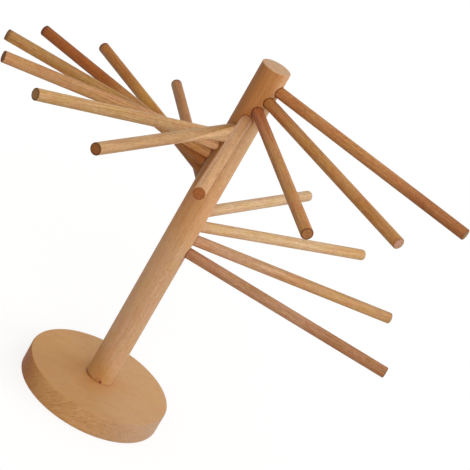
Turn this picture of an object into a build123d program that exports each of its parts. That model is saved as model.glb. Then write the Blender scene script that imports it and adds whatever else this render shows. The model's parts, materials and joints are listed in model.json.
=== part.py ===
from build123d import *
import os
from math import cos, radians, sin, tan

# Pasta drying rack, standing on the floor plane with its post on the Z axis.
# A turned disc carries one round post, and plain dowel arms are pushed into
# blind sockets that wind down the post in one full turn. Lengths in mm.

# Base: a flat disc turned from one board
base_diameter = 153
base_thickness = 24
base_edge_ease = 0.8

# Post: a straight round dowel glued and screwed into the base's seat
post_diameter = 30
post_edge_ease = 0.6
post_foot_ease = 1.5
post_seat_depth = 12
post_glue_gap = 0.05
rack_height = 400

# Arms: all one length, each pushed into its own blind socket
arm_count = 16
arm_diameter = 11.5
arm_length = 240
arm_end_ease = 1
arm_plug_depth = 14
arm_spacing = 1.25
top_arm_drop = 18.5
socket_clearance = 0.05
socket_end_room = 0.6
drill_point_angle = 118

# Helix: the top arm's direction and how the arms turn as they go down, in degrees
first_arm_turn = -22.5
arm_turn_step = -360 / arm_count

# The sockets were drilled by eye, so each arm strays from the even helix by up
# to two degrees or so, in its turn about the post and in its lean above the level
arm_turn_errors = (2, 0.6, 1.5, 0.5, -0.4, 1, 2.3, 0, 0.5, 0.4, -0.5, 0, 0, -0.5, -1.2, -1.1)
arm_lean_errors = (-0.3, 0.6, 0, 0.7, -1.1, 1, 1, -0.2, 0.5, 0.7, 0.5, 0, -1.5, 0, -0.1, -0.5)

# Screw: one countersunk wood screw, driven up through the base into the post's foot
screw_diameter = 5
screw_length = 45
screw_point_length = 6
screw_head_diameter = 10
screw_head_angle = 90
screw_head_sink = 0.5
screw_clearance = 0.05
screw_recess_span = 5.2
screw_recess_width = 1.2
screw_recess_depth = 2
screw_recess_taper = 8

# Every cut starts this far outside the wood
cut_overrun = 1

# Sizes that follow from those above
post_radius = post_diameter / 2
arm_radius = arm_diameter / 2
socket_radius = arm_radius + socket_clearance
socket_depth = arm_plug_depth + socket_end_room
socket_point_depth = socket_radius / tan(radians(drill_point_angle / 2))
arm_pitch = arm_diameter + arm_spacing
top_arm_height = rack_height - top_arm_drop
seat_floor_height = base_thickness - post_seat_depth
seat_radius = post_radius + post_glue_gap
screw_radius = screw_diameter / 2
screw_hole_radius = screw_radius + screw_clearance
screw_head_radius = screw_head_diameter / 2
screw_head_height = (screw_head_radius - screw_radius) / tan(radians(screw_head_angle / 2))
screw_tip_height = screw_head_sink + screw_length
sink_radius = screw_head_radius + screw_clearance + screw_head_sink * tan(radians(screw_head_angle / 2))


def arm_plane(index):
    """Plane on the post's centre line whose normal points out along one arm."""
    stray = index % len(arm_turn_errors)
    turn = radians(first_arm_turn + index * arm_turn_step + arm_turn_errors[stray])
    lean = radians(arm_lean_errors[stray])
    outward = (cos(turn) * cos(lean), sin(turn) * cos(lean), sin(lean))
    return Plane(origin=(0, 0, top_arm_height - index * arm_pitch), z_dir=outward)


arm_planes = [arm_plane(index) for index in range(arm_count)]


# Base: the disc with eased rims, the post's seat above and the screw's hole below
with BuildPart() as base:
    with BuildSketch(Plane.XY):
        Circle(base_diameter / 2)
    extrude(amount=base_thickness)
    chamfer(base.edges(), length=base_edge_ease)
    with Locations(Plane.XY.offset(base_thickness)):
        Hole(seat_radius, depth=post_seat_depth)
    with Locations(-Plane.XY):
        CounterSinkHole(screw_hole_radius, sink_radius, counter_sink_angle=screw_head_angle)
base.part.label = "base"


# Socket cutter: one blind drill hole, its mouth on the XY plane and its point below
with BuildPart() as socket_cutter:
    with BuildSketch(Plane.XZ):
        with BuildLine():
            Polyline(
                (0, cut_overrun),
                (socket_radius, cut_overrun),
                (socket_radius, -socket_depth),
                (0, -socket_depth - socket_point_depth),
                close=True,
            )
        make_face()
    revolve(axis=Axis.Z)


# Post: the dowel with eased ends, a helix of sockets and the screw's pilot hole
with BuildPart() as post:
    with BuildSketch(Plane.XY.offset(seat_floor_height)):
        Circle(post_radius)
    extrude(amount=rack_height - seat_floor_height)
    chamfer(post.edges().sort_by(Axis.Z)[-1], length=post_edge_ease)
    chamfer(post.edges().sort_by(Axis.Z)[0], length=post_foot_ease)
    with Locations(*[plane.offset(post_radius) for plane in arm_planes]):
        add(socket_cutter.part, mode=Mode.SUBTRACT)
    with Locations(-Plane.XY.offset(seat_floor_height)):
        Hole(screw_hole_radius, depth=screw_tip_height - seat_floor_height + screw_clearance)
post.part.label = "post"


# Screw: a countersunk head with a cross recess, a straight shank and a point
with BuildPart() as base_screw:
    with BuildSketch(Plane.XZ):
        with BuildLine():
            Polyline(
                (0, screw_head_sink),
                (screw_head_radius, screw_head_sink),
                (screw_radius, screw_head_sink + screw_head_height),
                (screw_radius, screw_tip_height - screw_point_length),
                (0, screw_tip_height),
                close=True,
            )
        make_face()
    revolve(axis=Axis.Z)
    with BuildSketch(Plane.XY.offset(screw_head_sink)):
        Rectangle(screw_recess_span, screw_recess_width)
        Rectangle(screw_recess_width, screw_recess_span)
    extrude(amount=screw_recess_depth, taper=screw_recess_taper, mode=Mode.SUBTRACT)
base_screw.part.label = "base_screw"

os.makedirs("parts", exist_ok=True)
for piece in (base, post, base_screw):
    export_step(piece.part, f"parts/{piece.part.label}.step")


# Arms: numbered from the top down, with both ends eased, plugged into the post
for number, plane in enumerate(arm_planes, start=1):
    with BuildPart() as arm:
        with BuildSketch(plane.offset(post_radius - arm_plug_depth)):
            Circle(arm_radius)
        extrude(amount=arm_length)
        chamfer(arm.edges().filter_by(GeomType.CIRCLE), length=arm_end_ease)
    arm.part.label = f"arm_{number:02d}"
    export_step(arm.part, f"parts/{arm.part.label}.step")
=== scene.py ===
import json
from math import asin, atan2, cos, pi, radians, sin, sqrt, tan

import bmesh
import bpy
from mathutils import Euler, Matrix, Vector


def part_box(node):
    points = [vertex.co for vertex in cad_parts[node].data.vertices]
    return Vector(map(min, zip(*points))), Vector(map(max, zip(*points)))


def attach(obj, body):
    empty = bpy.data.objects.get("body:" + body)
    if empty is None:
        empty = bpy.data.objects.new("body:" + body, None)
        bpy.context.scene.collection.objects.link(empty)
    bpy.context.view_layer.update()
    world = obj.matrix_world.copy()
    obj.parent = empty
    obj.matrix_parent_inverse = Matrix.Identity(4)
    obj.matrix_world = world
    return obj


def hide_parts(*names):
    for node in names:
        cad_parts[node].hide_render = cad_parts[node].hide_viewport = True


# Pasta drying rack in bare sanded beech: a turned disc, one round post and
# sixteen plug-in arms that wind down it. Metres, with the post on the Z axis.

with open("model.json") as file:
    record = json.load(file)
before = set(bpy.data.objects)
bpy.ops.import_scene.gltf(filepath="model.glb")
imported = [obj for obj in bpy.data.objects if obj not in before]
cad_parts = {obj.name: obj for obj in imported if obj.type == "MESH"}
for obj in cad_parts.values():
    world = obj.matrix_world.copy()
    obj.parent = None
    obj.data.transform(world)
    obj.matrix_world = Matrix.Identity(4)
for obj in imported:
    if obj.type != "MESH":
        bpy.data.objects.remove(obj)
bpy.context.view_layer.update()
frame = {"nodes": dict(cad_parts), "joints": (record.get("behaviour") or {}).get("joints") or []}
nodes = frame["nodes"]
scene = bpy.context.scene
mm = 0.001
samePlace = 1e-6   # metres within which two places are the same
weldReach = 1e-7   # metres within which doubles are merged
sharpFrom = 32     # degrees between faces from which their edge stays sharp
print("frame loaded:", len(nodes), "nodes")


# camera, at the photograph's angle
cameraSet = {
    "place": (0.045700, -1.785859, 0.965567),
    "elevation": 22.345,  # degrees that it looks down
    "roll": 30.404,       # degrees that it is turned about its own line of sight
    "lens": 152.24, "sensor": 36,  # mm
    "farthest": 50,       # metres that it sees
}


def setCamera(look):
    data = bpy.data.cameras.new("rackCamera")
    data.lens = look["lens"]
    data.sensor_width = look["sensor"]
    data.clip_end = look["farthest"]
    eye = bpy.data.objects.new("rackCamera", data)
    pitch = Euler((radians(90 - look["elevation"]), 0, 0)).to_matrix()
    turned = pitch @ Matrix.Rotation(radians(look["roll"]), 3, "Z")
    eye.matrix_world = Matrix.Translation(look["place"]) @ turned.to_4x4()
    scene.collection.objects.link(eye)
    scene.camera = eye


setCamera(cameraSet)
scene.view_settings.view_transform = "Standard"
print("camera set")


# small helpers for shader trees
def putNode(tree, kind, values=None, **options):
    node = tree.nodes.new("ShaderNode" + kind)
    for name, value in options.items():
        setattr(node, name, value)
    for key, value in (values or {}).items():
        if isinstance(value, bpy.types.NodeSocket):
            tree.links.new(value, node.inputs[key])
        else:
            node.inputs[key].default_value = value
    return node


def calc(tree, operation, first, second=0.0, third=0.0, clamp=False):
    return putNode(tree, "Math", {0: first, 1: second, 2: third}, operation=operation,
                   use_clamp=clamp).outputs[0]


def times(tree, first, second):
    return calc(tree, "MULTIPLY", first, second)


def oneMinus(tree, value):
    return calc(tree, "SUBTRACT", 1.0, value)


def between(tree, mask, atNone, atFull):
    return calc(tree, "MULTIPLY_ADD", mask, atFull - atNone, atNone)


def spanOf(tree, first, second):
    # the length of the slanting side over two upright ones
    squares = calc(tree, "ADD", times(tree, first, first), times(tree, second, second))
    return calc(tree, "SQRT", squares)


def fade(tree, value, start, stop):
    # 0 before start, 1 after stop, eased between them
    return putNode(tree, "MapRange", {"Value": value, "From Min": start, "From Max": stop},
                   interpolation_type="SMOOTHSTEP").outputs["Result"]


def vectorCalc(tree, operation, first, second):
    return putNode(tree, "VectorMath", {0: first, 1: second}, operation=operation).outputs[0]


def vectorValue(tree, operation, first, second):
    node = putNode(tree, "VectorMath", {0: first, 1: second}, operation=operation)
    return node.outputs["Value"]


def partsOf(tree, vector):
    return putNode(tree, "SeparateXYZ", {0: vector}).outputs


def blendColour(tree, amount, first, second, mode="MIX"):
    node = putNode(tree, "Mix", {0: amount, 6: first, 7: second}, data_type="RGBA",
                   blend_type=mode, clamp_factor=True)
    return node.outputs[2]


def tintBy(tree, amount, colour, tint):
    return blendColour(tree, amount, colour, tint, "MULTIPLY")


def noiseAt(tree, coord, stretch, detail=2.0, roughness=0.5):
    # noise on a coordinate in mm, with its cells per mm along each direction
    return putNode(tree, "TexNoise", {"Vector": vectorCalc(tree, "MULTIPLY", coord, stretch),
                                      "Scale": 1.0, "Detail": detail, "Roughness": roughness})


def startGroup(name, inputs, outputs):
    tree = bpy.data.node_groups.new(name, "ShaderNodeTree")
    for label, kind, value in inputs:
        socket = tree.interface.new_socket(name=label, in_out="INPUT",
                                           socket_type="NodeSocket" + kind)
        if value is not None:
            socket.default_value = value
    for label, kind in outputs:
        tree.interface.new_socket(name=label, in_out="OUTPUT", socket_type="NodeSocket" + kind)
    given = tree.nodes.new("NodeGroupInput").outputs
    return tree, given, tree.nodes.new("NodeGroupOutput").inputs


def feed(tree, sockets, results):
    for label, value in results.items():
        tree.links.new(value, sockets[label])


# beech: growth rings about an offset pith, fibre streaks and the short dark
# dashes of the rays. X runs along the grain and lengths are in mm.
grainSet = {
    # noises: cells per mm along the grain, outwards and round the pith, then detail
    "wander": ((0.012, 0.05, 0.05), 1.0), "uneven": ((0.004, 0.14, 0.03), 1.0),
    "streak": ((0.024, 0.7, 0.7), 3.0, 0.6), "hair": ((0.09, 4.5, 4.5), 2.0),
    "mottle": ((0.2, 0.45, 0.9), 3.0, 0.65), "ribbon": ((0.13, 0.06, 0.75), 2.5, 0.65),
    "cloud": ((0.045, 0.13, 0.13), 1.5),
    "bend": 3.0,                # mm that the fibres wander sideways
    "seedStep": 61.7,           # mm along the grain from one seed to the next
    "ringStray": 2.4,           # rings that they stray by
    "ringDark": (0.25, 0.93),   # where in a ring it starts to darken and is darkest
    "rayCells": (0.3, 0.2, 1.6), "rayEdge": (0.16, 0.4), "rayPick": (0.15, 0.75),
    "cloudEdge": (0.46, 0.68), "pink": (1.0, 0.84, 0.8, 1), "gold": (0.97, 0.98, 0.72, 1),
    "middleDepth": 0.36, "streakPull": 2.6, "mottlePull": 2.4, "ribbonPull": 2.4,
    "rough": 0.52, "hairRough": 0.16, "ringRough": 0.04,
    "hairHeight": 0.6, "streakHeight": 0.4, "rayHeight": 0.35,
}


def makeBeechGrain(look):
    tree, given, wanted = startGroup(
        "beechGrain",
        [("Vector", "Vector", None), ("Pith Distance", "Float", 60.0),
         ("Ring Spacing", "Float", 2.6), ("Seed", "Float", 0.0),
         ("Pale", "Color", (0.6, 0.4, 0.22, 1)), ("Deep", "Color", (0.4, 0.2, 0.09, 1)),
         ("Ray", "Color", (0.2, 0.08, 0.03, 1)), ("Ring Amount", "Float", 0.3),
         ("Streak Amount", "Float", 0.5), ("Mottle Amount", "Float", 0.4),
         ("Ray Amount", "Float", 0.5), ("Ray Scale", "Float", 1.0),
         ("Ribbon Amount", "Float", 0.0), ("Blush Amount", "Float", 0.5)],
        [("Color", "Color"), ("Roughness", "Float"), ("Height", "Float")])
    seed, pith = given["Seed"], given["Pith Distance"]
    step = times(tree, seed, look["seedStep"])
    shift = putNode(tree, "CombineXYZ", {0: step, 1: seed, 2: seed}).outputs[0]
    place = vectorCalc(tree, "ADD", given["Vector"], shift)

    # the fibres wander a little, so the rings and streaks do too
    wander = noiseAt(tree, place, *look["wander"]).outputs["Color"]
    bend = vectorCalc(tree, "MULTIPLY", vectorCalc(tree, "SUBTRACT", wander, (0.5, 0.5, 0.5)),
                      (0, look["bend"], look["bend"]))
    bent = partsOf(tree, vectorCalc(tree, "ADD", given["Vector"], bend))
    across = calc(tree, "ADD", bent[1], pith)
    fromPith = spanOf(tree, across, bent[2])
    around = times(tree, calc(tree, "ARCTAN2", bent[2], across), pith)
    along = calc(tree, "ADD", bent[0], step)
    grain = putNode(tree, "CombineXYZ", {0: along, 1: fromPith, 2: around}).outputs[0]

    # rings: each darkens slowly outwards and ends in a thin line
    uneven = noiseAt(tree, grain, *look["uneven"]).outputs[0]
    ringPlace = calc(tree, "ADD", calc(tree, "DIVIDE", fromPith, given["Ring Spacing"]),
                     times(tree, uneven, look["ringStray"]))
    ringPart = calc(tree, "FRACT", ringPlace)
    ringStart, ringEnd = look["ringDark"]
    ring = calc(tree, "SUBTRACT", fade(tree, ringPart, ringStart, ringEnd),
                fade(tree, ringPart, ringEnd, 1.0))

    streak = noiseAt(tree, grain, *look["streak"]).outputs[0]
    hair = noiseAt(tree, grain, *look["hair"]).outputs[0]
    mottle = noiseAt(tree, grain, *look["mottle"]).outputs[0]

    # rays: thin upright ribbons that run out from the pith
    cells = putNode(tree, "TexVoronoi",
                    {"Vector": vectorCalc(tree, "MULTIPLY", grain, look["rayCells"]),
                     "Scale": given["Ray Scale"]}, feature="F1").outputs
    pick = putNode(tree, "SeparateColor", {0: cells["Color"]}).outputs[0]
    ray = times(tree, oneMinus(tree, fade(tree, cells["Distance"], *look["rayEdge"])),
                fade(tree, pick, *look["rayPick"]))

    # where a face is cut across the fibres, the rays run into long wavy ribbons
    ribbon = noiseAt(tree, grain, *look["ribbon"]).outputs[0]

    # broad clouds of pink and of gold
    clouds = noiseAt(tree, place, *look["cloud"]).outputs["Color"]
    cloud = putNode(tree, "SeparateColor", {0: clouds}).outputs
    pinkish = times(tree, fade(tree, cloud[0], *look["cloudEdge"]), given["Blush Amount"])
    golden = times(tree, fade(tree, cloud[1], *look["cloudEdge"]), given["Blush Amount"])

    # depth: how far the colour is from pale to deep, moved both ways by each noise
    def pulled(noise, amount, depth, clamp=False):
        return calc(tree, "MULTIPLY_ADD", calc(tree, "SUBTRACT", noise, 0.5), amount, depth, clamp)

    depth = pulled(streak, times(tree, given["Streak Amount"], look["streakPull"]),
                   look["middleDepth"])
    depth = calc(tree, "ADD", depth, times(tree, ring, given["Ring Amount"]))
    depth = pulled(mottle, times(tree, given["Mottle Amount"], look["mottlePull"]), depth)
    depth = pulled(ribbon, times(tree, given["Ribbon Amount"], look["ribbonPull"]), depth)
    depth = pulled(hair, given["Streak Amount"], depth, clamp=True)
    colour = blendColour(tree, depth, given["Pale"], given["Deep"])
    colour = tintBy(tree, pinkish, colour, look["pink"])
    colour = tintBy(tree, golden, colour, look["gold"])
    colour = blendColour(tree, times(tree, ray, given["Ray Amount"]), colour, given["Ray"])
    rough = calc(tree, "ADD", calc(tree, "MULTIPLY_ADD", hair, look["hairRough"], look["rough"]),
                 times(tree, ring, look["ringRough"]))
    raised = calc(tree, "ADD", times(tree, hair, look["hairHeight"]),
                  times(tree, streak, look["streakHeight"]))
    height = calc(tree, "SUBTRACT", raised, times(tree, ray, look["rayHeight"]))
    feed(tree, wanted, {"Color": colour, "Roughness": rough, "Height": height})
    return tree


# cut ends: open fibres take up grease and dust, so they are darker, and the
# sanded rim round them takes a tint of its own
endSet = {
    "faceReach": (0.05, 0.55),   # mm from the end over which its tint gives way
    # the rim in from the end and in from the wall: mm at which it starts to fade, and
    # the least share of its width
    "wobble": ((0.5, 0.5, 0.5), 2.0), "rimAlong": (0.1, 0.5), "rimAcross": (0.3, 0.6),
    "dots": ((3.0, 3.0, 3.0), 3.0, 0.7), "dotEdge": (0.5, 0.75), "dotTint": (0.72, 0.64, 0.6, 1),
}


def makeCutEnd(look):
    tree, given, wanted = startGroup(
        "cutEnd",
        [("Vector", "Vector", None), ("Color", "Color", (0.5, 0.3, 0.15, 1)),
         ("Length", "Float", 240.0), ("Radius", "Float", 5.75),
         ("End Tint", "Color", (0.75, 0.68, 0.66, 1)), ("Rim Tint", "Color", (0.5, 0.4, 0.34, 1)),
         ("Rim Width", "Float", 1.2)],
        [("Color", "Color"), ("Mask", "Float")])
    part = partsOf(tree, given["Vector"])
    toEnd = calc(tree, "SUBTRACT", given["Length"], part[0])
    nearest = calc(tree, "MINIMUM", toEnd, part[0])
    toWall = calc(tree, "SUBTRACT", given["Radius"], spanOf(tree, part[1], part[2]))
    face = oneMinus(tree, fade(tree, nearest, *look["faceReach"]))
    wobble = noiseAt(tree, given["Vector"], *look["wobble"]).outputs[0]

    def rimMask(distance, start, least):
        # the rim's width wobbles, so it isn't an even ring
        width = times(tree, given["Rim Width"], calc(tree, "ADD", wobble, least))
        return oneMinus(tree, fade(tree, distance, start, width))

    rim = times(tree, rimMask(nearest, *look["rimAlong"]), rimMask(toWall, *look["rimAcross"]))
    dots = noiseAt(tree, given["Vector"], *look["dots"]).outputs[0]
    speckled = times(tree, face, fade(tree, dots, *look["dotEdge"]))
    colour = tintBy(tree, face, given["Color"], given["End Tint"])
    colour = tintBy(tree, speckled, colour, look["dotTint"])
    colour = tintBy(tree, rim, colour, given["Rim Tint"])
    feed(tree, wanted, {"Color": colour, "Mask": face})
    return tree


# handling marks: faint rubbed and greasy patches that change the shine
handledSet = {
    "seedStep": 17.3,   # mm along the grain from one seed to the next
    "patch": ((0.05, 0.09, 0.09), 3.0), "patchEdge": (0.5, 0.72),
    "smudge": ((0.3, 0.4, 0.4), 2.5), "smudgeEdge": (0.55, 0.75),
    "patchTint": (0.9, 0.83, 0.76, 1), "smudgeTint": (0.86, 0.78, 0.7, 1), "patchShine": 0.12,
}


def makeHandled(look):
    tree, given, wanted = startGroup(
        "handled",
        [("Vector", "Vector", None), ("Color", "Color", (0.5, 0.3, 0.15, 1)),
         ("Roughness", "Float", 0.6), ("Amount", "Float", 0.5), ("Seed", "Float", 0.0)],
        [("Color", "Color"), ("Roughness", "Float")])
    step = times(tree, given["Seed"], look["seedStep"])
    place = vectorCalc(tree, "ADD", given["Vector"],
                       putNode(tree, "CombineXYZ", {0: step}).outputs[0])
    patchNoise = noiseAt(tree, place, *look["patch"]).outputs[0]
    smudgeNoise = noiseAt(tree, place, *look["smudge"]).outputs[0]
    patch = times(tree, fade(tree, patchNoise, *look["patchEdge"]), given["Amount"])
    smudge = times(tree, fade(tree, smudgeNoise, *look["smudgeEdge"]), given["Amount"])
    colour = tintBy(tree, patch, given["Color"], look["patchTint"])
    colour = tintBy(tree, smudge, colour, look["smudgeTint"])
    rough = calc(tree, "SUBTRACT", given["Roughness"], times(tree, patch, look["patchShine"]))
    feed(tree, wanted, {"Color": colour, "Roughness": rough})
    return tree


beechGrain = makeBeechGrain(grainSet)
cutEnd = makeCutEnd(endSet)
handled = makeHandled(handledSet)
print("shader groups made")


def useGroup(tree, group, values):
    return putNode(tree, "Group", values, node_tree=group).outputs


def colourOf(red, green, blue):
    # a colour as a paint program gives it, made linear
    parts = [v / 255 for v in (red, green, blue)]
    linear = [v / 12.92 if v <= 0.04045 else ((v + 0.055) / 1.055) ** 2.4 for v in parts]
    return (*linear, 1.0)


def startMaterial(name):
    material = bpy.data.materials.new(name)
    material.use_nodes = True
    material.node_tree.nodes.clear()
    return material, material.node_tree


def grainCoordinate(tree, origin=(0, 0, 0), turn=(0, 0, 0)):
    # lengths in mm, with X along the grain
    texture = putNode(tree, "TexCoord").outputs["Object"]
    return putNode(tree, "Mapping", {"Vector": texture, "Location": origin, "Rotation": turn,
                                     "Scale": (mm, mm, mm)}, vector_type="TEXTURE").outputs[0]


def showShader(tree, shader, kind="OutputMaterial"):
    tree.links.new(shader.outputs[0], putNode(tree, kind).inputs[0])


# wood's finish, the same on every piece apart from the sheen
woodSet = {
    "shine": 0.4, "fuzzSpread": 0.5,
    "relief": 0.35, "reliefDepth": 0.00025,   # metres
}


def finishWood(tree, colour, rough, height, fuzz, look=woodSet):
    # fuzz is the pale sheen that sanded fibres have at a low angle
    bump = putNode(tree, "Bump", {"Height": height, "Strength": look["relief"],
                                  "Distance": look["reliefDepth"]})
    surface = putNode(tree, "BsdfPrincipled", {
        "Base Color": colour, "Roughness": rough, "Normal": bump.outputs[0],
        "Specular IOR Level": look["shine"], "Sheen Weight": fuzz,
        "Sheen Roughness": look["fuzzSpread"]})
    showShader(tree, surface)


def pieceFrom(mesh, name, material, body, *stoodFor):
    piece = bpy.data.objects.new(name, mesh)
    scene.collection.objects.link(piece)
    if material:
        piece.data.materials.append(material)
    for face in mesh.polygons:
        face.use_smooth = True
    mesh.set_sharp_from_angle(angle=radians(sharpFrom))
    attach(piece, body)
    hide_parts(*stoodFor)
    return piece


def meshFrom(shape, name):
    bmesh.ops.remove_doubles(shape, verts=shape.verts, dist=weldReach)
    bmesh.ops.recalc_face_normals(shape, faces=shape.faces)
    mesh = bpy.data.meshes.new(name)
    shape.to_mesh(mesh)
    shape.free()
    return mesh


def roundOff(shape, edges, ease, segments):
    bmesh.ops.bevel(shape, geom=edges, offset=ease * mm, affect="EDGES", segments=segments,
                    profile=0.5, material=-1)


def makeRod(shape, radius, length, sides):
    return bmesh.ops.create_cone(shape, cap_ends=True, cap_tris=False, segments=sides,
                                 radius1=radius * mm, radius2=radius * mm, depth=length * mm)


# base: the turned disc, with the post's seat above and the screw's hole below
baseSet = {
    "radius": 76.5, "thickness": 24.0, "rimEase": 1.5,
    "seatRadius": 15.05, "seatFloor": 12.0, "mouthEase": 0.3,
    "screwHole": 2.55, "sinkRadius": 5.55,
    "steps": 192, "rimSegments": 5,
    "grainTurn": 18.0,     # degrees from +X to the way the board's grain runs
    "slant": -39.0,        # degrees that the rings are tilted in the board
    "pith": 150.0, "ringSpacing": 3.4, "seed": 3.0,
    "pale": colourOf(222, 177, 127), "deep": colourOf(195, 141, 93), "ray": colourOf(150, 96, 56),
    # the face is sanded smooth, and the turned side keeps its dashes
    "ringAmount": 0.02, "rayScale": 0.5,
    "faceAmounts": {"Streak Amount": 0.1, "Mottle Amount": 0.2, "Ray Amount": 0.05,
                    "Blush Amount": 0.4},
    "sideAmounts": {"Streak Amount": 0.16, "Mottle Amount": 0.48, "Ray Amount": 0.35,
                    "Blush Amount": 0.15},
    "ribbonRight": 0.25,   # share of the ribbons that is left on the side's right
    "handledAmount": 0.35, "handledSeed": 5.0, "fuzz": 0.04,
    # masks: where each starts and is full, in mm from the rim or across the disc, and
    # for the end grain by how far the side faces along the board's grain
    "sideMask": (-1.2, -0.3), "rimMask": (-1.7, -0.7), "rimDown": (-1.9, -0.9),
    "rimAcross": (-60, -20), "ribbonAcross": (-30, 40), "leftAcross": (-60, 45),
    "backAcross": (-45, 45), "endGrain": (-0.5, 0.9), "leftEndBack": (-60, -38),
    "leftEndAcross": (-20, 20),
    # painted light and shade: the disc darker on its left, its front shaded and its back lit, the
    # upper rim's highlight dulled, the side's left part lit, and a pale cool sheen on the side's
    # right where the end grain shows
    "leftTint": (0.94, 0.87, 0.7, 1), "sideTint": (1.06, 1.02, 0.99, 1),
    "endTint": (0.86, 0.91, 1.14, 1), "frontTint": (0.97, 0.965, 0.955, 1),
    "backTint": (1.06, 1.06, 1.0, 1), "rimTint": (0.93, 0.92, 0.91, 1),
    "leftEndTint": (1.0, 0.92, 0.7, 1),
    # soft patches: the face they lie on, place, full and last distance from it, tint
    "patches": (
        ("side", (-76.0, -20.0, 8.0), 4.0, 68.0, (0.57, 0.36, 0.08, 1)),
        ("side", (36.0, -67.0, 10.0), 8.0, 36.0, (0.91, 0.89, 0.88, 1)),
        # painted shade on the face round the post's foot
        ("face", (-8.0, -5.0, 24.0), 14.0, 44.0, (0.97, 0.9, 0.77, 1)),
        ("face", (48.0, -34.0, 24.0), 10.0, 45.0, (1.02, 1.05, 1.1, 1)),
        ("face", (-66.0, 12.0, 24.0), 10.0, 50.0, (1.06, 1.08, 1.08, 1)),
    ),
}


def makeBaseMesh(size):
    shape = bmesh.new()
    sinkDepth = size["sinkRadius"] - size["screwHole"]
    outline = [
        (size["screwHole"], size["seatFloor"]), (size["seatRadius"], size["seatFloor"]),
        (size["seatRadius"], size["thickness"] - size["mouthEase"]),
        (size["seatRadius"] + size["mouthEase"], size["thickness"]),
        (size["radius"], size["thickness"]), (size["radius"], 0), (size["sinkRadius"], 0),
        (size["screwHole"], sinkDepth),
    ]
    corners = [shape.verts.new((out * mm, 0, up * mm)) for out, up in outline]
    edges = [shape.edges.new((corners[i - 1], corners[i])) for i in range(len(corners))]
    bmesh.ops.spin(shape, geom=corners + edges, cent=(0, 0, 0), axis=(0, 0, 1), angle=2 * pi,
                   steps=size["steps"], use_merge=True)
    bmesh.ops.remove_doubles(shape, verts=shape.verts, dist=weldReach)

    def onRim(vert):
        return abs(Vector(vert.co[:2]).length - size["radius"] * mm) < samePlace

    rims = [e for e in shape.edges if all(onRim(v) for v in e.verts)
            and abs(e.verts[0].co.z - e.verts[1].co.z) < samePlace]
    roundOff(shape, rims, size["rimEase"], size["rimSegments"])
    return meshFrom(shape, "beechBase")


def makeBaseWood(size):
    material, tree = startMaterial("beechBoard")
    middle = (0, 0, size["thickness"] / 2 * mm)
    grainTurn = radians(size["grainTurn"])
    coord = grainCoordinate(tree, middle, (radians(size["slant"]), 0, grainTurn))
    part = partsOf(tree, grainCoordinate(tree, middle, (0, 0, grainTurn)))
    place = grainCoordinate(tree)
    stand = partsOf(tree, place)
    fromAxis = spanOf(tree, part[0], part[1])

    def fromEdge(value, edge, mask):
        return fade(tree, value, edge + mask[0], edge + mask[1])

    onSide = fromEdge(fromAxis, size["radius"], size["sideMask"])
    rightward = fade(tree, part[0], *size["ribbonAcross"])
    leftSide = times(tree, onSide, between(tree, rightward, 1.0, size["ribbonRight"]))
    amounts = {name: between(tree, onSide, onFace, size["sideAmounts"][name])
               for name, onFace in size["faceAmounts"].items()}
    grain = useGroup(tree, beechGrain, {
        "Vector": coord, "Pith Distance": size["pith"], "Ring Spacing": size["ringSpacing"],
        "Seed": size["seed"], "Pale": size["pale"], "Deep": size["deep"], "Ray": size["ray"],
        "Ring Amount": size["ringAmount"], "Ray Scale": size["rayScale"],
        "Ribbon Amount": leftSide, **amounts})

    # painted light and shade: darker on the left, shaded at the front and lit at the back, the
    # upper rim's highlight dulled and the side's left part lit
    leftward = oneMinus(tree, fade(tree, part[0], *size["leftAcross"]))
    backward = fade(tree, stand[1], *size["backAcross"])
    depthTint = blendColour(tree, backward, size["frontTint"], size["backTint"])
    upperRim = times(tree, fromEdge(fromAxis, size["radius"], size["rimMask"]),
                     fromEdge(part[2], size["thickness"] / 2, size["rimDown"]))
    upperRim = times(tree, upperRim, fade(tree, part[0], *size["rimAcross"]))
    # painted sheen: a pale cool tint on the side's right, where it shows end grain
    lengthwise = calc(tree, "ABSOLUTE", calc(tree, "DIVIDE", part[0], fromAxis))
    endGrainSheen = times(tree, times(tree, onSide, rightward),
                       fade(tree, lengthwise, *size["endGrain"]))
    colour = grain["Color"]
    for mask, tint in ((leftward, size["leftTint"]), (1.0, depthTint),
                       (upperRim, size["rimTint"]), (leftSide, size["sideTint"]),
                       (endGrainSheen, size["endTint"])):
        colour = tintBy(tree, mask, colour, tint)
    faces = {"side": onSide, "face": oneMinus(tree, onSide)}
    for lies, centre, full, last, tint in size["patches"]:
        reach = vectorValue(tree, "DISTANCE", place, centre)
        patch = times(tree, faces[lies], oneMinus(tree, fade(tree, reach, full, last)))
        colour = tintBy(tree, patch, colour, tint)
    leftEnd = times(tree, times(tree, onSide, fade(tree, stand[1], *size["leftEndBack"])),
                    oneMinus(tree, fade(tree, stand[0], *size["leftEndAcross"])))
    colour = tintBy(tree, leftEnd, colour, size["leftEndTint"])
    marks = useGroup(tree, handled, {
        "Vector": coord, "Color": colour, "Roughness": grain["Roughness"],
        "Amount": size["handledAmount"], "Seed": size["handledSeed"]})
    finishWood(tree, marks["Color"], marks["Roughness"], grain["Height"], size["fuzz"])
    return material


rackBase = pieceFrom(makeBaseMesh(baseSet), "beech_base", makeBaseWood(baseSet), "stand", "base")
print("base made:", len(rackBase.data.polygons), "faces")


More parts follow.
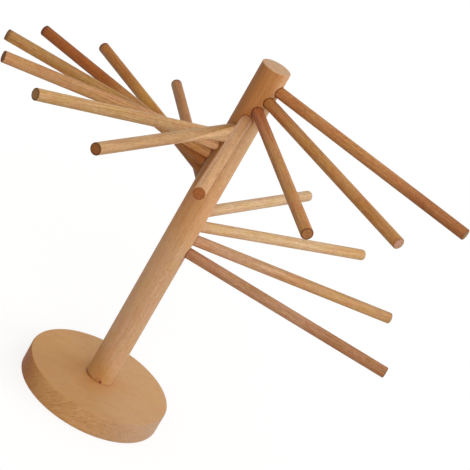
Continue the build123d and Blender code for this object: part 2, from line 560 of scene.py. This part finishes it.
# post: the upright dowel with a drilled blind socket for every arm
postSet = {
    "radius": 15.0, "foot": 12.0, "top": 400.0, "topEase": 0.9, "footEase": 1.5,
    "socketRadius": 5.8, "socketDepth": 14.6, "pointAngle": 118.0, "mouthEase": 0.5,
    "pilotRadius": 2.55, "pilotDepth": 33.55,
    "sides": 256, "socketSides": 64, "pilotSides": 48, "easeSegments": 4,
    "overrun": 2.5, "pilotOverrun": 2.0,   # mm that the drills stand out of the wood
    "grainRoll": -35.0,                    # degrees about the post's own axis
    "pith": 34.0, "ringSpacing": 3.0, "seed": 7.0,
    "pale": colourOf(223, 180, 135), "deep": colourOf(194, 143, 97), "ray": colourOf(150, 98, 60),
    "amounts": {"Ring Amount": 0.1, "Streak Amount": 0.46, "Mottle Amount": 0.43,
                "Ray Amount": 0.28, "Blush Amount": 0.45},
    "topTint": (0.96, 1.02, 1.17, 1), "topRimTint": (1.0, 0.97, 0.93, 1), "topRimWidth": 1.0,
    "handledAmount": 0.3, "handledSeed": 2.0, "fuzz": 0.05,
    "topMask": (-0.9, -0.3),   # mm from the top over which the side's tints give way
    # painted shade on the upper left: up the post, and a slanting line across it that the darker
    # side ends at
    "heldUp": (200.0, 330.0), "heldSlope": -0.1, "heldStart": 33.0, "heldSoft": 9,
    "heldTint": (0.78, 0.59, 0.36, 1), "edgeAcross": (-15, -2), "edgeTint": (0.7, 0.66, 0.6, 1),
    "upperUp": (90, 180), "upperTint": (1.02, 0.98, 0.91, 1),
    "lowerUp": (175, 215), "lowerTint": (1.01, 1.03, 1.14, 1),
    "bandStart": (185, 235), "bandEnd": (250, 325), "bandTint": (1.03, 0.92, 0.82, 1),
    "nookStart": (250, 272), "nookEnd": (325, 340), "nookAcross": (-13, -6),
    "nookTint": (0.78, 0.75, 0.6, 1),
    "footReach": (30, 68), "footTint": (0.82, 0.745, 0.49, 1),
    # painted light on the right side
    "freshUp": (120, 280), "freshAcross": (2, 9), "freshEnd": (330, 360), "freshLeft": 0.4,
    "freshTint": (1.08, 1.14, 1.24, 1),
    # glue and painted contact shade: how far they spread from the seam, on the right and more on
    # the left
    "seam": 24.0, "stainDown": 0.6, "stainUp": 1.2, "stainMore": 3.4, "stainAcross": (-13, 4),
    "stainRight": 0.3, "stainLeft": 0.9, "stain": (0.5, 0.29, 0.15, 1),
    # a glue smear, a pin knot and a darker patch between the upper roots: place, reach, tint
    "spots": (
        ((-0.5, -15.0, 26.2), 5.0, (0.9, 0.78, 0.68, 1)),
        ((3.6, -14.56, 25.6), 2.5, (0.36, 0.15, 0.08, 1)),
        ((3.0, -14.7, 349.0), 15.0, (0.88, 0.76, 0.66, 1)),
    ),
    "spotFull": 0.4,
    "drilledTint": (0.6, 0.37, 0.2, 1),
}
armJoints = sorted(frame["joints"], key=lambda j: j["name"])
armNodes = [j["child"].replace("_body", "") for j in armJoints]
armWays = [Vector(j["axis"]).normalized() for j in armJoints]


def armMiddle(node):
    low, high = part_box(node)
    return (low + high) / 2


def makeSocketCutter(shape, size, way, height):
    # one drill along Z, with its point near the post's axis: the point, a straight
    # wall, and a lip that eases the mouth and follows the round of the post
    wall, radius, ease = (size[key] * mm for key in ("radius", "socketRadius", "mouthEase"))
    floor = wall - size["socketDepth"] * mm
    point = floor - radius / tan(radians(size["pointAngle"] / 2))
    outside = wall + size["overrun"] * mm
    outline = [(0, point), (radius, floor), (radius, wall - ease), (radius + ease, wall),
               (radius + ease, outside), (0, outside)]
    corners = [shape.verts.new((out, 0, up)) for out, up in outline]
    edges = [shape.edges.new(pair) for pair in zip(corners, corners[1:])]
    before = set(shape.verts) - set(corners)
    bmesh.ops.spin(shape, geom=corners + edges, cent=(0, 0, 0), axis=(0, 0, 1), angle=2 * pi,
                   steps=size["socketSides"], use_merge=True)
    drill = [v for v in shape.verts if v not in before]
    for v in drill:
        if v.co.z > wall - ease - samePlace:
            v.co.z += sqrt(wall ** 2 - v.co.x ** 2) - wall
    side = Vector((0, 0, 1)).cross(way).normalized()
    turn = Matrix((side, way.cross(side), way)).transposed().to_4x4()
    bmesh.ops.transform(shape, matrix=Matrix.Translation((0, 0, height)) @ turn, verts=drill)


def makePostMesh(size, outerWood, drilledWood):
    shape = bmesh.new()
    makeRod(shape, size["radius"], size["top"] - size["foot"], size["sides"])
    bmesh.ops.translate(shape, verts=shape.verts, vec=(0, 0, (size["top"] + size["foot"]) / 2 * mm))
    for height, ease in ((size["top"], size["topEase"]), (size["foot"], size["footEase"])):
        rim = [e for e in shape.edges
               if all(abs(v.co.z - height * mm) < samePlace for v in e.verts)]
        roundOff(shape, rim, ease, size["easeSegments"])
    post = bpy.data.objects.new("postBlank", meshFrom(shape, "postBlank"))
    post.data.materials.append(outerWood)

    drills = bmesh.new()
    for node, way in zip(armNodes, armWays):
        middle = armMiddle(node)
        reach = sqrt(middle.x ** 2 + middle.y ** 2) / sqrt(way.x ** 2 + way.y ** 2)
        makeSocketCutter(drills, size, way, middle.z - way.z * reach)
    pilot = makeRod(drills, size["pilotRadius"], size["pilotDepth"] + size["pilotOverrun"],
                    size["pilotSides"])
    pilotMiddle = size["foot"] + (size["pilotDepth"] - size["pilotOverrun"]) / 2
    bmesh.ops.translate(drills, verts=pilot["verts"], vec=(0, 0, pilotMiddle * mm))
    cutter = bpy.data.objects.new("socketDrills", meshFrom(drills, "socketDrills"))
    cutter.data.materials.append(drilledWood)
    for made in (post, cutter):
        scene.collection.objects.link(made)
    cut = post.modifiers.new("sockets", "BOOLEAN")
    cut.operation = "DIFFERENCE"
    cut.solver = "EXACT"
    cut.object = cutter
    cut.material_mode = "TRANSFER"
    ready = post.evaluated_get(bpy.context.evaluated_depsgraph_get())
    mesh = bpy.data.meshes.new_from_object(ready)
    for spare in (post, cutter):
        used = spare.data
        bpy.data.objects.remove(spare)
        bpy.data.meshes.remove(used)
    mesh.name = "beechPost"
    return mesh


def makePostWood(size, name, drilled):
    material, tree = startMaterial(name)
    # the grain runs up the post from its foot
    coord = grainCoordinate(tree, (0, 0, size["foot"] * mm),
                            (radians(size["grainRoll"]), radians(-90), 0))
    grain = useGroup(tree, beechGrain, {
        "Vector": coord, "Pith Distance": size["pith"], "Ring Spacing": size["ringSpacing"],
        "Seed": size["seed"], "Pale": size["pale"], "Deep": size["deep"], "Ray": size["ray"],
        **size["amounts"]})
    ends = useGroup(tree, cutEnd, {
        "Vector": coord, "Color": grain["Color"], "Length": size["top"] - size["foot"],
        "Radius": size["radius"], "End Tint": size["topTint"], "Rim Tint": size["topRimTint"],
        "Rim Width": size["topRimWidth"]})
    marks = useGroup(tree, handled, {
        "Vector": coord, "Color": ends["Color"], "Roughness": grain["Roughness"],
        "Amount": size["handledAmount"], "Seed": size["handledSeed"]})
    place = grainCoordinate(tree)
    stand = partsOf(tree, place)
    across, up = stand[0], stand[2]

    def over(value, key):
        return fade(tree, value, *size[key])

    # painted shade: the upper left of the post, away from the light and under the arms, is darker
    # and warmer up to a slanting line across it, and darker still at its far left edge
    slanted = calc(tree, "MULTIPLY_ADD", up, size["heldSlope"],
                   calc(tree, "ADD", across, size["heldStart"]))
    upperLeftShade = times(tree, over(up, "heldUp"), oneMinus(tree, fade(tree, slanted, 0, size["heldSoft"])))
    edge = times(tree, upperLeftShade, oneMinus(tree, over(across, "edgeAcross")))
    band = calc(tree, "SUBTRACT", over(up, "bandStart"), over(up, "bandEnd"))
    # painted shade in the nook between the roots of the arms on the left
    nookShade = times(tree, calc(tree, "SUBTRACT", over(up, "nookStart"), over(up, "nookEnd")),
                 oneMinus(tree, over(across, "nookAcross")))
    # painted shade low on the post's left, by its foot
    foot = oneMinus(tree, over(calc(tree, "ADD", across, up), "footReach"))
    # painted light: the right side is paler and cooler, less so near the top
    fresh = times(tree, over(up, "freshUp"), over(across, "freshAcross"))
    fresh = times(tree, fresh, between(tree, over(up, "freshEnd"), 1.0, size["freshLeft"]))
    # glue has left a thin dark line round the foot, and the wider, darker part on the left is
    # painted contact shade
    leftFoot = oneMinus(tree, over(across, "stainAcross"))
    stainTop = calc(tree, "MULTIPLY_ADD", leftFoot, size["stainMore"],
                    size["seam"] + size["stainUp"])
    stain = times(tree, oneMinus(tree, fade(tree, up, size["seam"] - size["stainDown"], stainTop)),
                  between(tree, leftFoot, size["stainRight"], size["stainLeft"]))
    offTop = oneMinus(tree, fade(tree, up, *(size["top"] + v for v in size["topMask"])))
    colour = marks["Color"]
    for mask, tint in ((times(tree, upperLeftShade, offTop), "heldTint"),
                       (times(tree, edge, offTop), "edgeTint"),
                       (over(up, "upperUp"), "upperTint"),
                       (oneMinus(tree, over(up, "lowerUp")), "lowerTint"), (band, "bandTint"),
                       (nookShade, "nookTint"), (foot, "footTint"),
                       (times(tree, fresh, offTop), "freshTint"), (stain, "stain")):
        colour = tintBy(tree, mask, colour, size[tint])
    for centre, last, tint in size["spots"]:
        reach = vectorValue(tree, "DISTANCE", place, centre)
        spot = oneMinus(tree, fade(tree, reach, size["spotFull"], last))
        colour = tintBy(tree, spot, colour, tint)
    # the drilled walls and eased mouths are darker: glue, and painted shade in the holes
    if drilled:
        colour = tintBy(tree, 1.0, colour, size["drilledTint"])
    finishWood(tree, colour, marks["Roughness"], grain["Height"], size["fuzz"])
    return material


postWood = makePostWood(postSet, "beechPost", False)
socketWood = makePostWood(postSet, "beechSocket", True)
postMesh = makePostMesh(postSet, postWood, socketWood)
rackPost = pieceFrom(postMesh, "beech_post", None, "stand", "post")
print("post made:", len(rackPost.data.polygons), "faces")


# arms: plain dowels, each from its own rod, so their tones and grain differ
armSet = {
    "radius": 5.75, "length": 240.0, "endEase": 1.0, "sides": 72, "easeSegments": 5,
    "ringSpacing": 2.4, "seedStep": 1.7,
    "amounts": {"Ring Amount": 0.22, "Streak Amount": 0.6, "Mottle Amount": 0.58,
                "Ray Amount": 0.28},
    "handledAmount": 0.5, "fuzz": 0.05, "sawnRough": 0.3,
    "plugged": 14.0, "rootSoft": 3.0, "tipReach": 45.0, "sideMask": (0.5, 5.0),
    # the painted band of light on one arm's lower side: mm from the axis at the arm's start, and
    # how it narrows
    "wedgeWidth": 4.6, "wedgeSlope": -0.08, "wedgeSoft": 0.8, "wedgeTint": (1.42, 1.52, 1.66, 1),
    # the ring at the root, in mm from the post's axis, and the noise that frays it
    "seamFrom": 15.0, "seamStart": (-2.5, -0.8), "seamWidth": 2.6, "seamLeast": 0.3,
    "seamNoise": (0.3, 0.4, 0.4), "seamAmount": 0.9, "seam": (0.5, 0.28, 0.15, 1),
}
# each rod's pale and deep tone and its rays' tone, as a paint program gives them
woodTones = {
    "straw": ((234, 199, 154), (198, 150, 103), (155, 104, 62)),
    "oat": ((222, 180, 126), (179, 131, 80), (141, 95, 54)),
    "tan": ((224, 180, 129), (181, 133, 86), (141, 91, 54)),
    "peach": ((221, 169, 117), (176, 122, 74), (135, 83, 46)),
    "fawn": ((229, 178, 125), (188, 131, 83), (142, 86, 50)),
    "rose": ((229, 186, 146), (184, 135, 99), (141, 88, 56)),
    "honey": ((217, 159, 95), (171, 110, 54), (115, 64, 26)),
    "gold": ((211, 159, 97), (161, 109, 54), (114, 69, 33)),
    "russet": ((218, 157, 97), (165, 101, 50), (107, 56, 28)),
    "blush": ((212, 163, 125), (162, 106, 72), (112, 60, 35)),
    "rust": ((210, 156, 87), (156, 96, 44), (97, 55, 22)),
    "amber": ((212, 155, 66), (166, 106, 36), (98, 58, 21)),
    "umber": ((205, 143, 80), (152, 96, 44), (97, 55, 28)),
}
# how each cut end's colour differs, as tints on the arm's own tone
# for the end and for its rim, and the rim's width
endTones = {
    "pale": ((0.96, 1.11, 2.5, 1), (0.78, 0.7, 0.68, 1), 1.7),
    "grey": ((0.58, 0.68, 0.78, 1), (0.7, 0.62, 0.6, 1), 1.7),
    "bare": ((0.74, 0.7, 0.76, 1), (0.7, 0.62, 0.58, 1), 1.5),
    "ringed": ((0.72, 0.63, 0.77, 1), (0.42, 0.33, 0.27, 1), 1.8),
    "dark": ((0.56, 0.51, 0.485, 1), (0.34, 0.28, 0.24, 1), 1.9),
    "warm": ((0.68, 0.415, 0.24, 1), (0.74, 0.66, 0.6, 1), 1.6),
    "toasted": ((0.535, 0.33, 0.17, 1), (0.34, 0.27, 0.22, 1), 1.9),
    "sooty": ((0.305, 0.21, 0.06, 1), (0.36, 0.3, 0.26, 1), 1.6),
    "stained": ((0.53, 0.44, 0.37, 1), (0.3, 0.24, 0.19, 1), 6.0),
}
# how an arm's colour differs where it stands out of the post, as a tint and its reach
rootTones = {
    # the first darkens a root, the second is painted shade on the roots between the back arms
    "stained": ((0.83, 0.64, 0.48, 1), 60.0), "burnt": ((0.78, 0.53, 0.31, 1), 60.0),
    # painted light on roots that the arms above would shade
    "fresh": ((1.42, 1.58, 1.9, 1), 95.0), "tanned": ((1.36, 1.34, 1.85, 1), 100.0),
    # painted shade on a root's upper side with a painted band of light below it, and a ruddy root
    "split": ((0.72, 0.61, 0.34, 1), 80.0), "ruddy": ((0.82, 0.53, 0.36, 1), 90.0),
}
# how the outer part of an arm has darkened, as tints too
tipTones = {
    "even": (1, 1, 1, 1), "brown": (0.76, 0.63, 0.58, 1), "tea": (0.82, 0.72, 0.58, 1),
    "gilt": (0.91, 0.84, 0.63, 1), "sand": (0.94, 0.93, 0.9, 1), "rusty": (0.69, 0.385, 0.1, 1),
    "copper": (0.83, 0.65, 0.48, 1), "warm": (0.98, 0.94, 0.9, 1),
}
# one row for each arm from the top down: tone, end, roll about its own axis, pith
# distance, root's tone and amount, blush, tip's tone and how far out it begins, and
# the turn of the upper side, and the painted light and shade below and above, as changes of tone
armRods = [
    ("russet", "grey", 20, 30, "stained", 0.5, 0.6, "brown", 148, 20, -0.08, 0.0),
    ("honey", "pale", 95, 46, "stained", 0.7, 0.9, "even", 0, 25, -0.1, -0.04),
    ("honey", "ringed", 150, 28, "ruddy", 1.0, 1.0, "warm", 0, 42, -0.2, 0.08),
    ("fawn", "warm", 60, 60, "stained", 0.6, 0.15, "even", 0, -87, 0.02, 0.12),
    ("tan", "toasted", 35, 40, "split", 1.0, 0.4, "sand", 65, -42, 0.04, -0.03),
    ("oat", "dark", 110, 52, "fresh", 1.0, 0.6, "even", 0, -26, 0.05, 0.07),
    ("peach", "sooty", 170, 34, "fresh", 1.0, 0.7, "sand", 150, -22, 0.14, 0.0),
    ("gold", "stained", 80, 44, "tanned", 1.0, 1.2, "sand", 90, -21, 0.22, -0.03),
    ("rust", "stained", 10, 38, "burnt", 1.0, 0.2, "rusty", 112, -23, -0.03, 0.02),
    ("amber", "stained", 125, 26, "burnt", 1.0, 0.5, "copper", 140, -30, -0.23, 0.04),
    ("umber", "stained", 70, 55, "burnt", 1.0, 0.6, "gilt", 145, -49, -0.24, 0.02),
    ("honey", "bare", 140, 30, "stained", 0.2, 0.6, "even", 0, 86, 0.0, 0.0),
    ("straw", "ringed", 25, 48, "stained", 0.3, 0.5, "sand", 175, 44, -0.05, -0.05),
    ("straw", "ringed", 100, 36, "stained", 0.2, 0.6, "gilt", 180, 30, 0.07, -0.05),
    ("rose", "ringed", 160, 42, "stained", 0.3, 0.7, "gilt", 90, 24, 0.09, -0.09),
    ("blush", "ringed", 45, 32, "stained", 0.5, 0.8, "tea", 140, 23, 0.08, -0.03),
]


def makeArmMesh(size, way, middle, name):
    shape = bmesh.new()
    makeRod(shape, size["radius"], size["length"], size["sides"])
    rims = [e for e in shape.edges if abs(e.verts[0].co.z - e.verts[1].co.z) < samePlace]
    roundOff(shape, rims, size["endEase"], size["easeSegments"])
    turn = Vector((0, 0, 1)).rotation_difference(way).to_matrix().to_4x4()
    bmesh.ops.transform(shape, matrix=Matrix.Translation(middle) @ turn, verts=shape.verts)
    return meshFrom(shape, name)


def makeArmWood(size, number, way, middle, rod):
    tone, end, roll, pith, root, rootAmount, blush, tip, tipFrom, sideTurn, below, above = rod
    pale, deep, ray = (colourOf(*shade) for shade in woodTones[tone])
    endTint, endRimTint, endRimWidth = endTones[end]
    material, tree = startMaterial(f"beechArm{number:02d}")
    start = middle - way * (size["length"] / 2 * mm)
    lean, heading = -asin(way.z), atan2(way.y, way.x)
    coord = grainCoordinate(tree, start, (radians(roll), lean, heading))
    grain = useGroup(tree, beechGrain, {
        "Vector": coord, "Pith Distance": float(pith), "Ring Spacing": size["ringSpacing"],
        "Seed": number * size["seedStep"], "Pale": pale, "Deep": deep, "Ray": ray,
        "Blush Amount": blush, **size["amounts"]})
    ends = useGroup(tree, cutEnd, {
        "Vector": coord, "Color": grain["Color"], "Length": size["length"],
        "Radius": size["radius"], "End Tint": endTint, "Rim Tint": endRimTint,
        "Rim Width": endRimWidth})
    marks = useGroup(tree, handled, {
        "Vector": coord, "Color": ends["Color"], "Roughness": grain["Roughness"],
        "Amount": size["handledAmount"], "Seed": float(number)})
    offEnd = oneMinus(tree, ends["Mask"])
    # the root's tone fades outwards, and the plug that the socket hides keeps the rod's own tone
    out = partsOf(tree, coord)[0]
    rootTint, rootReach = rootTones[root]
    plugged = size["plugged"]
    offPlug = fade(tree, out, plugged - size["rootSoft"], plugged)
    near = calc(tree, "SUBTRACT", offPlug, fade(tree, out, plugged, plugged + rootReach))
    # upright is how far a point is above the arm's axis, in mm, leaning by the side's turn
    level = grainCoordinate(tree, start, (0, lean, heading))
    upright = vectorValue(tree, "DOT_PRODUCT", level,
                          (0, sin(radians(sideTurn)), cos(radians(sideTurn))))
    colour = marks["Color"]
    if root == "split":
        # painted light: a paler band runs along the lower side and narrows outwards, and the root's
        # painted shade stays off it
        across = calc(tree, "MULTIPLY_ADD", out, size["wedgeSlope"],
                      calc(tree, "SUBTRACT", size["wedgeWidth"], upright))
        litBand = times(tree, fade(tree, across, -size["wedgeSoft"], size["wedgeSoft"]), offPlug)
        colour = tintBy(tree, litBand, colour, size["wedgeTint"])
        near = times(tree, near, oneMinus(tree, litBand))
    colour = tintBy(tree, times(tree, near, rootAmount), colour, rootTint)
    # painted light and shade: the lower and the upper side each get a set change of brightness
    # against the middle
    downward = fade(tree, times(tree, upright, -1.0), *size["sideMask"])
    lower = calc(tree, "ADD", times(tree, downward, below), 1.0)
    scale = calc(tree, "MULTIPLY_ADD", fade(tree, upright, *size["sideMask"]), above, lower)
    shaded = putNode(tree, "VectorMath", {0: colour, "Scale": scale}, operation="SCALE").outputs[0]
    colour = blendColour(tree, offEnd, colour, shaded)
    aged = times(tree, fade(tree, out, tipFrom, tipFrom + size["tipReach"]), offEnd)
    colour = tintBy(tree, aged, colour, tipTones[tip])
    # a thin dark ring where the arm meets the post: glue and dust, and painted contact shade
    flat = partsOf(tree, grainCoordinate(tree))
    fromPost = spanOf(tree, flat[0], flat[1])
    frayed = calc(tree, "MULTIPLY_ADD", noiseAt(tree, coord, size["seamNoise"]).outputs[0],
                  size["seamWidth"], size["seamFrom"] + size["seamLeast"])
    ring = calc(tree, "SUBTRACT",
                fade(tree, fromPost, *(size["seamFrom"] + v for v in size["seamStart"])),
                fade(tree, fromPost, size["seamFrom"], frayed))
    colour = tintBy(tree, times(tree, ring, size["seamAmount"]), colour, size["seam"])
    # the sawn ends are rougher than the sanded sides
    rough = calc(tree, "MULTIPLY_ADD", ends["Mask"], size["sawnRough"], marks["Roughness"],
                 clamp=True)
    finishWood(tree, colour, rough, grain["Height"], size["fuzz"])
    return material


for number, (node, way) in enumerate(zip(armNodes, armWays), start=1):
    middle = armMiddle(node)
    mesh = makeArmMesh(armSet, way, middle, f"beechArm{number:02d}")
    wood = makeArmWood(armSet, number, way, middle, armRods[number - 1])
    pieceFrom(mesh, f"beech_{node}", wood, f"{node}_body", node)
print("arms made:", len(armNodes))


# screw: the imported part, in bright zinc with faint tool marks
screwSet = {
    "zinc": colourOf(196, 199, 202), "dull": colourOf(140, 142, 144), "dullEdge": (0.35, 0.75),
    "cloudy": ((0.9, 0.9, 0.9), 3.0), "scratch": ((0.6, 6.0, 0.6), 2.0),
    "rough": 0.22, "scratchRough": 0.25,
    "relief": 0.2, "reliefDepth": 0.0001,   # metres
}


def makeZinc(look):
    material, tree = startMaterial("zincPlate")
    coord = grainCoordinate(tree)
    cloudy = noiseAt(tree, coord, *look["cloudy"]).outputs[0]
    scratch = noiseAt(tree, coord, *look["scratch"]).outputs[0]
    colour = blendColour(tree, fade(tree, cloudy, *look["dullEdge"]), look["zinc"], look["dull"])
    rough = calc(tree, "MULTIPLY_ADD", scratch, look["scratchRough"], look["rough"])
    bump = putNode(tree, "Bump", {"Height": scratch, "Strength": look["relief"],
                                  "Distance": look["reliefDepth"]})
    surface = putNode(tree, "BsdfPrincipled", {"Base Color": colour, "Roughness": rough,
                                               "Metallic": 1.0, "Normal": bump.outputs[0]})
    showShader(tree, surface)
    return material


nodes["base_screw"].data.materials.clear()
nodes["base_screw"].data.materials.append(makeZinc(screwSet))
print("screw dressed")


# stage: a pale floor that keeps a soft shadow, and plain studio light
stageSet = {
    "floorSize": 8.0, "floorDrop": -0.0001, "floorWhite": 0.775,
    "floorTint": (0.3, 0.3, 0.3, 1), "floorBounce": (0.38, 0.35, 0.32, 1),
    # each lamp: azimuth and elevation in degrees, strength, colour
    "lamps": {
        "sideWindow": (0.0, 12.0, 0.85, (0.9, 1.0, 1.135)),
        "frontBox": (-76.0, 30.0, 0.88, (1.0, 0.96, 0.93)),
    },
    "lampAngle": 40.0,
    "worldLeft": 0.47, "worldRight": 0.76, "worldColour": (1.0, 0.99, 0.95, 1),
}
white = (1, 1, 1, 1)


def seenDirectly(tree):
    rays = putNode(tree, "LightPath").outputs
    seen = calc(tree, "MAXIMUM", rays["Is Camera Ray"], rays["Is Glossy Ray"])
    return calc(tree, "MAXIMUM", seen, rays["Is Transmission Ray"])


def makeFloor(look):
    shape = bmesh.new()
    bmesh.ops.create_grid(shape, x_segments=1, y_segments=1, size=look["floorSize"] / 2,
                          matrix=Matrix.Translation((0, 0, look["floorDrop"])))
    floor = bpy.data.objects.new("studioFloor", meshFrom(shape, "floor"))
    scene.collection.objects.link(floor)
    material, tree = startMaterial("paleFloor")
    seen = seenDirectly(tree)
    tint = blendColour(tree, seen, look["floorBounce"], look["floorTint"])
    matt = putNode(tree, "BsdfDiffuse", {"Color": tint})
    glow = putNode(tree, "Emission", {"Color": white,
                                      "Strength": times(tree, seen, look["floorWhite"])})
    showShader(tree, putNode(tree, "AddShader", {0: matt.outputs[0], 1: glow.outputs[0]}))
    floor.data.materials.append(material)


def makeLight(look):
    for name, (azimuth, elevation, strength, colour) in look["lamps"].items():
        data = bpy.data.lights.new(name, "SUN")
        data.energy = strength
        data.angle = radians(look["lampAngle"])
        data.color = colour
        lamp = bpy.data.objects.new(name, data)
        lamp.rotation_euler = Euler((0, radians(90 - elevation), radians(azimuth)))
        scene.collection.objects.link(lamp)

    world = bpy.data.worlds.new("studio")
    world.use_nodes = True
    scene.world = world
    sky = world.node_tree
    sky.nodes.clear()
    # the room is a little darker on its left
    across = partsOf(sky, putNode(sky, "TexCoord").outputs["Generated"])[0]
    strength = putNode(sky, "MapRange", {"Value": across, "From Min": -1.0, "From Max": 1.0,
                                         "To Min": look["worldLeft"],
                                         "To Max": look["worldRight"]}).outputs["Result"]
    room = putNode(sky, "Background", {"Color": look["worldColour"], "Strength": strength})
    backdrop = putNode(sky, "Background", {"Color": white, "Strength": 1.0})
    mix = putNode(sky, "MixShader", {0: seenDirectly(sky), 1: room.outputs[0],
                                     2: backdrop.outputs[0]})
    showShader(sky, mix, "OutputWorld")


makeFloor(stageSet)
makeLight(stageSet)
print("stage set")
